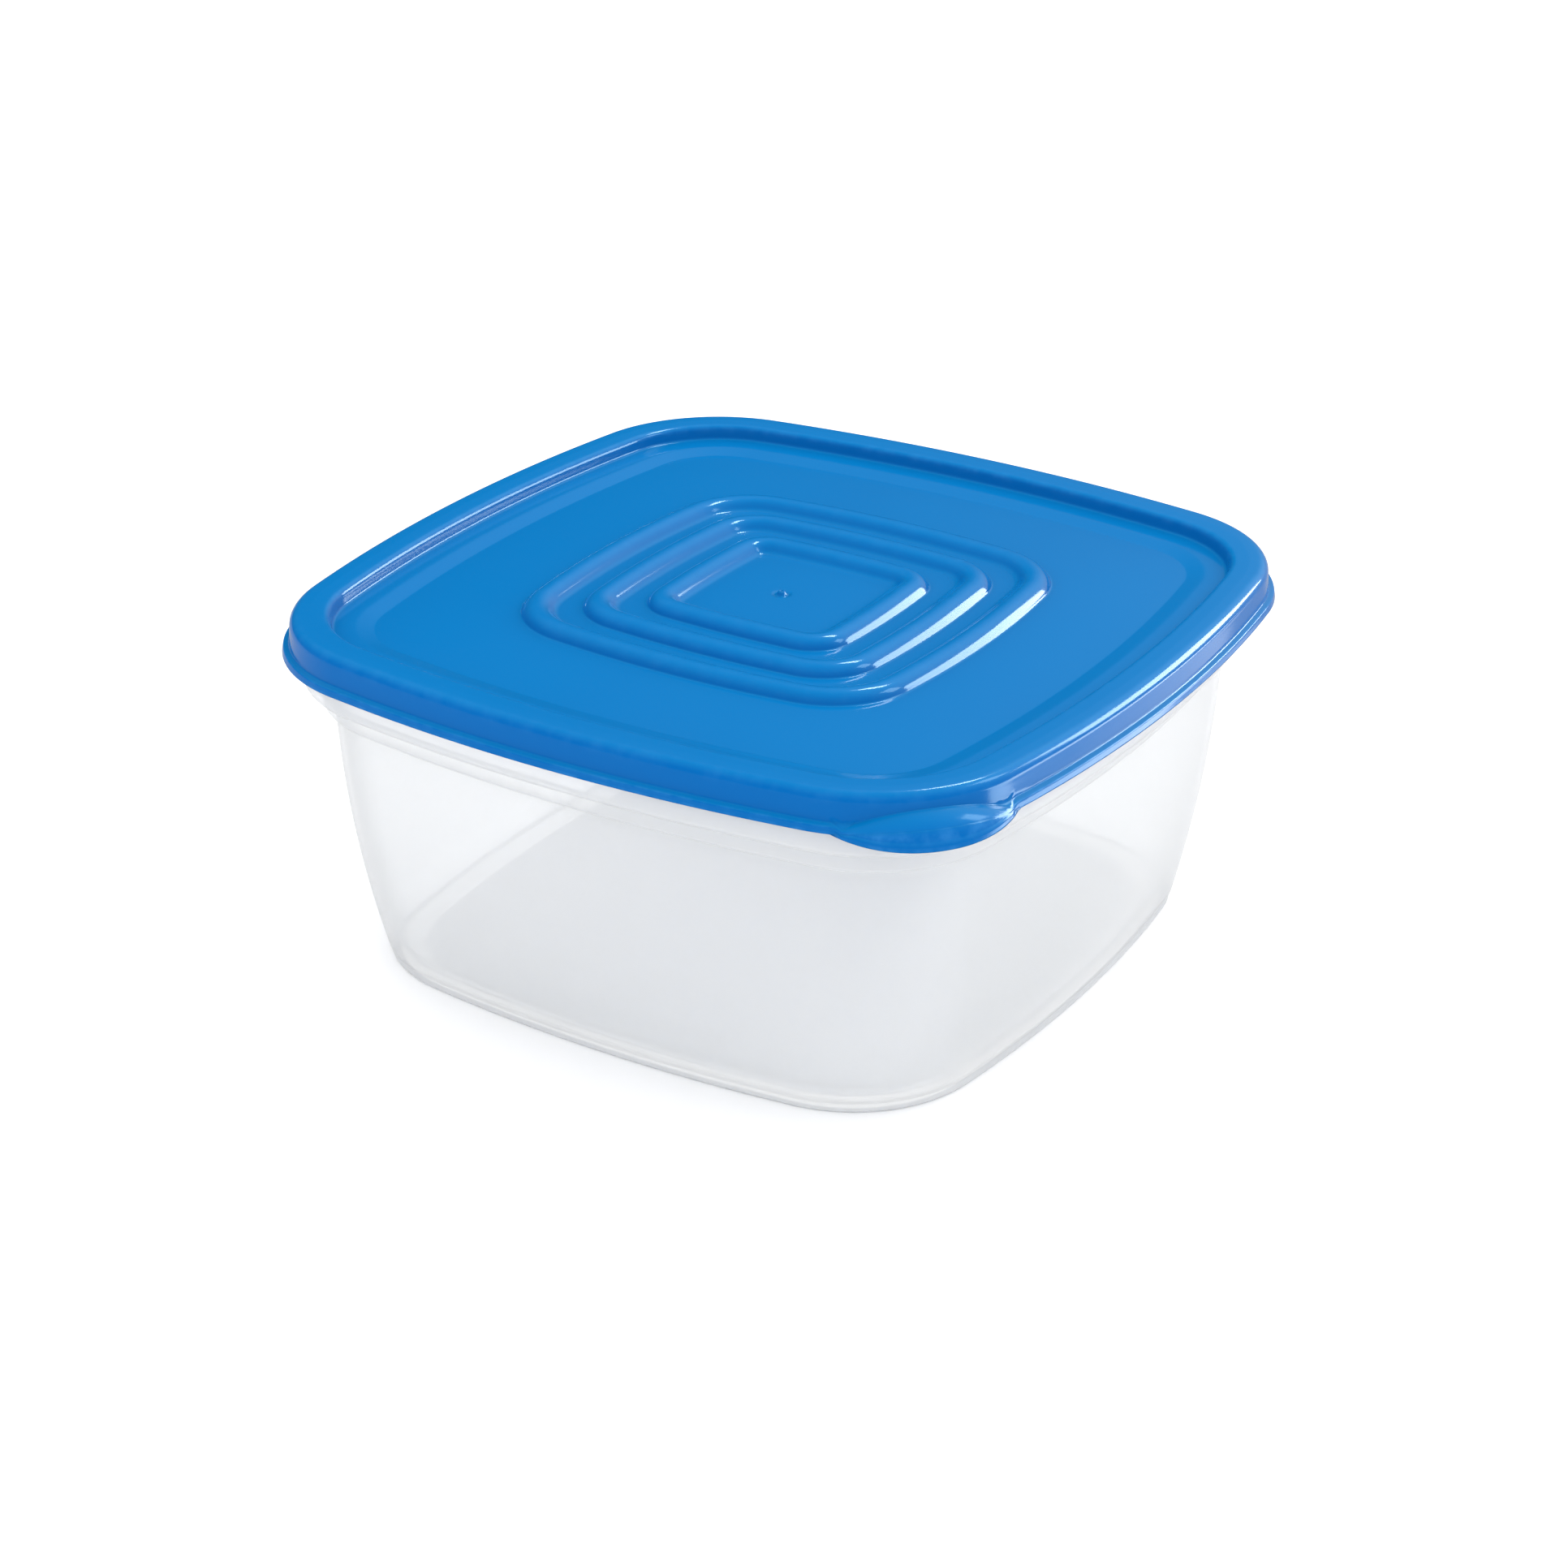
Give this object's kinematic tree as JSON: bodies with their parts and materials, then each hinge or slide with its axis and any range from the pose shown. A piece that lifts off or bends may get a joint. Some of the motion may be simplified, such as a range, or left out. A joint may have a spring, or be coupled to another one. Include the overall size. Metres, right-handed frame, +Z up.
{
  "type": "snap lid food container",
  "caption": "Square food storage tub with bowed, drafted walls and a stepped collar, closed by a lid that snaps over its lip and has concentric ridges and a corner thumb tab.",
  "frame": {"origin": "on the surface that the tub stands on, under the middle of the tub", "axes": "+Z up, X and Y square to the sides; the lid's thumb tab is at the corner towards +X and -Y"},
  "size_m": [0.23, 0.23, 0.1009],
  "materials": {
    "tub": "natural translucent polypropylene, satin",
    "lid": "glossy blue polypropylene"
  },
  "bodies": {
    "tub": {"tub": "tub"},
    "lid": {"lid": "lid"}
  },
  "joints": [
    {"name": "lid_lift", "type": "slide", "parent": "tub", "child": "lid", "axis": [0, 0, 1], "range_m": [0, 0.12]}
  ]
}
